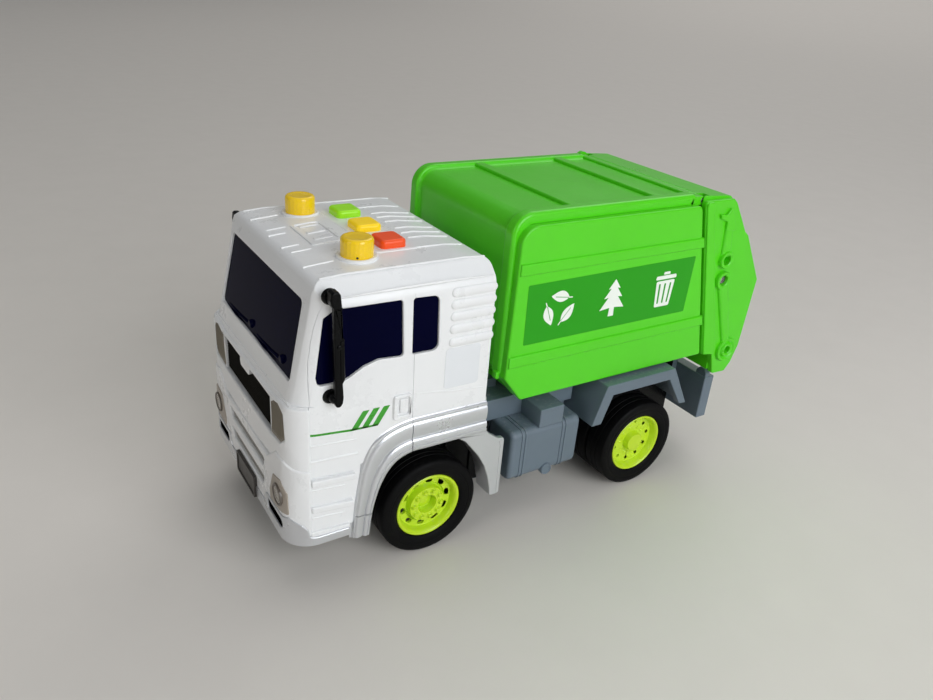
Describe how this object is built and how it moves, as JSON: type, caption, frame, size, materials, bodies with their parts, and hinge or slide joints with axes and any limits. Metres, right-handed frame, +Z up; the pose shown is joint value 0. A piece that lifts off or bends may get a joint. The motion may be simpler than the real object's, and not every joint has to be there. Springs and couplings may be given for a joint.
{
  "type": "toy garbage truck",
  "caption": "Toy garbage truck with rolling wheel sets, a tipping refuse container and a tail hopper that swings open at the rear.",
  "frame": {"origin": "on the ground under the middle of the truck's overall length and width", "axes": "-Y is the front of the truck, +X its left side and +Z up; the tyres stand on z = 0"},
  "size_m": [0.1214, 0.2756, 0.1598],
  "materials": {
    "cab_white": "satin moulded shell",
    "silver_paint": "satin silver coat on plastic",
    "body_green": "satin moulded shell",
    "chassis_grey": "fine moulded grain",
    "black_plastic": "satin",
    "tyre_black": "smooth satin",
    "rim_lime": "satin moulded",
    "window_navy": "dark tinted clear plastic",
    "grille_dark": "matt",
    "lamp_clear": "polished",
    "beacon_amber": "polished",
    "button_green": "satin",
    "button_yellow": "satin",
    "button_red": "satin",
    "steel": "plain wire",
    "plate_blank": "satin"
  },
  "bodies": {
    "root": {"cab_shell": "cab_white", "cab_interior": "black_plastic", "windscreen": "window_navy", "side_windows_left": "window_navy", "side_windows_right": "window_navy", "grille": "grille_dark", "lamp_panel_left": "cab_white", "lamp_panel_right": "cab_white", "headlamp_left": "lamp_clear", "headlamp_right": "lamp_clear", "number_plate": "plate_blank", "front_bumper": "silver_paint", "front_fender_left": "silver_paint", "front_fender_right": "silver_paint", "mirror_left": "black_plastic", "mirror_right": "black_plastic", "beacon_left": "beacon_amber", "beacon_right": "beacon_amber", "button_green": "button_green", "button_yellow": "button_yellow", "button_red": "button_red", "chassis": "chassis_grey", "battery_cover": "chassis_grey", "fuel_tank_left": "chassis_grey", "fuel_tank_right": "chassis_grey", "side_step_left": "chassis_grey", "side_step_right": "chassis_grey", "rear_mudguard_left": "chassis_grey", "rear_mudguard_right": "chassis_grey", "rear_bumper": "chassis_grey", "tip_pin": "steel"},
    "front_wheels": {"front_axle": "steel", "front_rim_left": "rim_lime", "front_rim_right": "rim_lime", "front_tyre_left": "tyre_black", "front_tyre_right": "tyre_black"},
    "rear_wheels": {"rear_axle": "steel", "rear_rim_left": "rim_lime", "rear_rim_right": "rim_lime", "rear_tyres_left": "tyre_black", "rear_tyres_right": "tyre_black"},
    "container": {"refuse_body": "body_green"},
    "tailgate": {"tail_hopper": "body_green", "lift_pin": "steel"}
  },
  "joints": [
    {"name": "front_wheels_spin", "type": "hinge", "parent": "root", "child": "front_wheels", "pos_m": [0, -0.0682, 0.025], "axis": [1, 0, 0], "continuous": true},
    {"name": "rear_wheels_spin", "type": "hinge", "parent": "root", "child": "rear_wheels", "pos_m": [0, 0.0605, 0.025], "axis": [1, 0, 0], "continuous": true},
    {"name": "container_tip", "type": "hinge", "parent": "root", "child": "container", "pos_m": [0, 0.1118, 0.06], "axis": [-1, 0, 0], "range_deg": [0, 40]},
    {"name": "tailgate_lift", "type": "hinge", "parent": "container", "child": "tailgate", "pos_m": [0, 0.0842, 0.1564], "axis": [1, 0, 0], "range_deg": [0, 70]}
  ]
}
